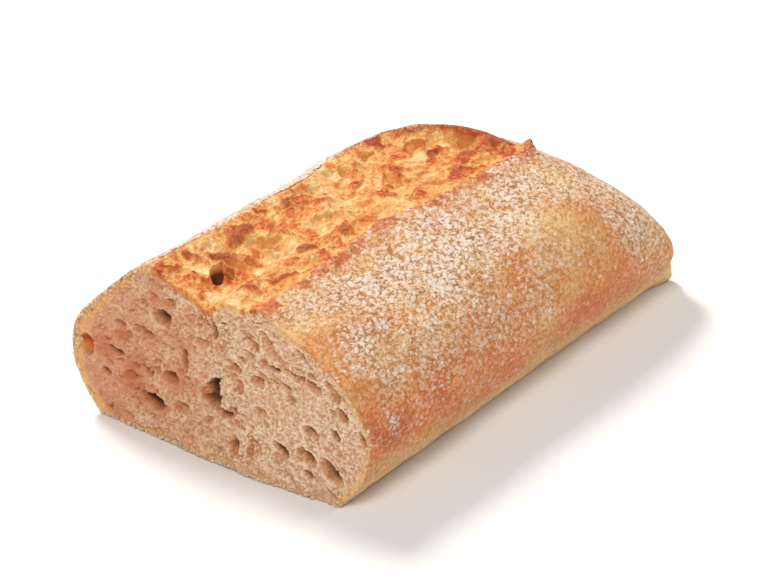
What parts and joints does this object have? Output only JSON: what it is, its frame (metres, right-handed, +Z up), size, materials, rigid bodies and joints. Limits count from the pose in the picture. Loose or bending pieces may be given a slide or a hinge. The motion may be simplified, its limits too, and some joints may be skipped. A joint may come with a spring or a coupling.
{
  "type": "cut ciabatta loaf",
  "caption": "Half of a rustic ciabatta: floured golden crust, a broad torn score along the top, flat baked base, and an open, holey crumb at the square cut.",
  "frame": {"origin": "middle of the loaf's flat base: the bottom centre of its bounding box", "axes": "+Z up, +Y along the loaf from the cut face to the round end, +X towards the flank below the score's lower lip"},
  "size_m": [0.14, 0.2232, 0.0688],
  "materials": {
    "crust": "matt floured bread crust",
    "crumb": "matt open bread crumb"
  },
  "bodies": {
    "root": {"loaf": "crust"}
  },
  "joints": []
}
